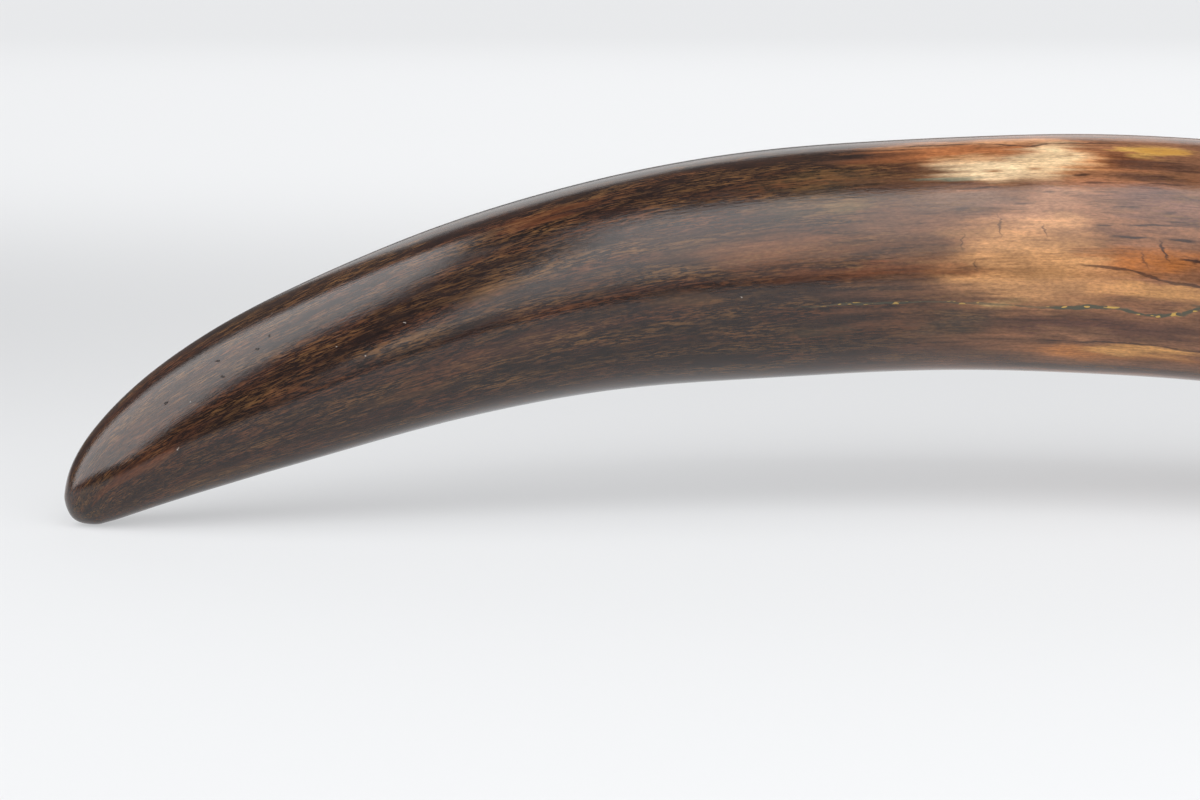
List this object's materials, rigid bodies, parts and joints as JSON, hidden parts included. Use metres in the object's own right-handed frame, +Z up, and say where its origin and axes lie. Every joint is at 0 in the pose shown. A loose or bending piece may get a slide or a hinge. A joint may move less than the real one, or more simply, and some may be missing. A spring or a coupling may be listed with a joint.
{
  "type": "mammoth tusk",
  "caption": "Long, spirally curved tusk with a blunt tip and a sawn, hollow root, polished dark fossil ivory; it lies on its tip, middle and root rim.",
  "frame": {"origin": "middle of the bounding box's underside, on the surface that the tusk lies on", "axes": "+X along the tusk's longest extent, from the tip side to the root side; +Z up; -Y towards the side that the picture shows"},
  "size_m": [1.033, 0.6194, 0.1376],
  "materials": {
    "polished_ivory": "polished"
  },
  "bodies": {
    "root": {"tusk": "polished_ivory"}
  },
  "joints": []
}
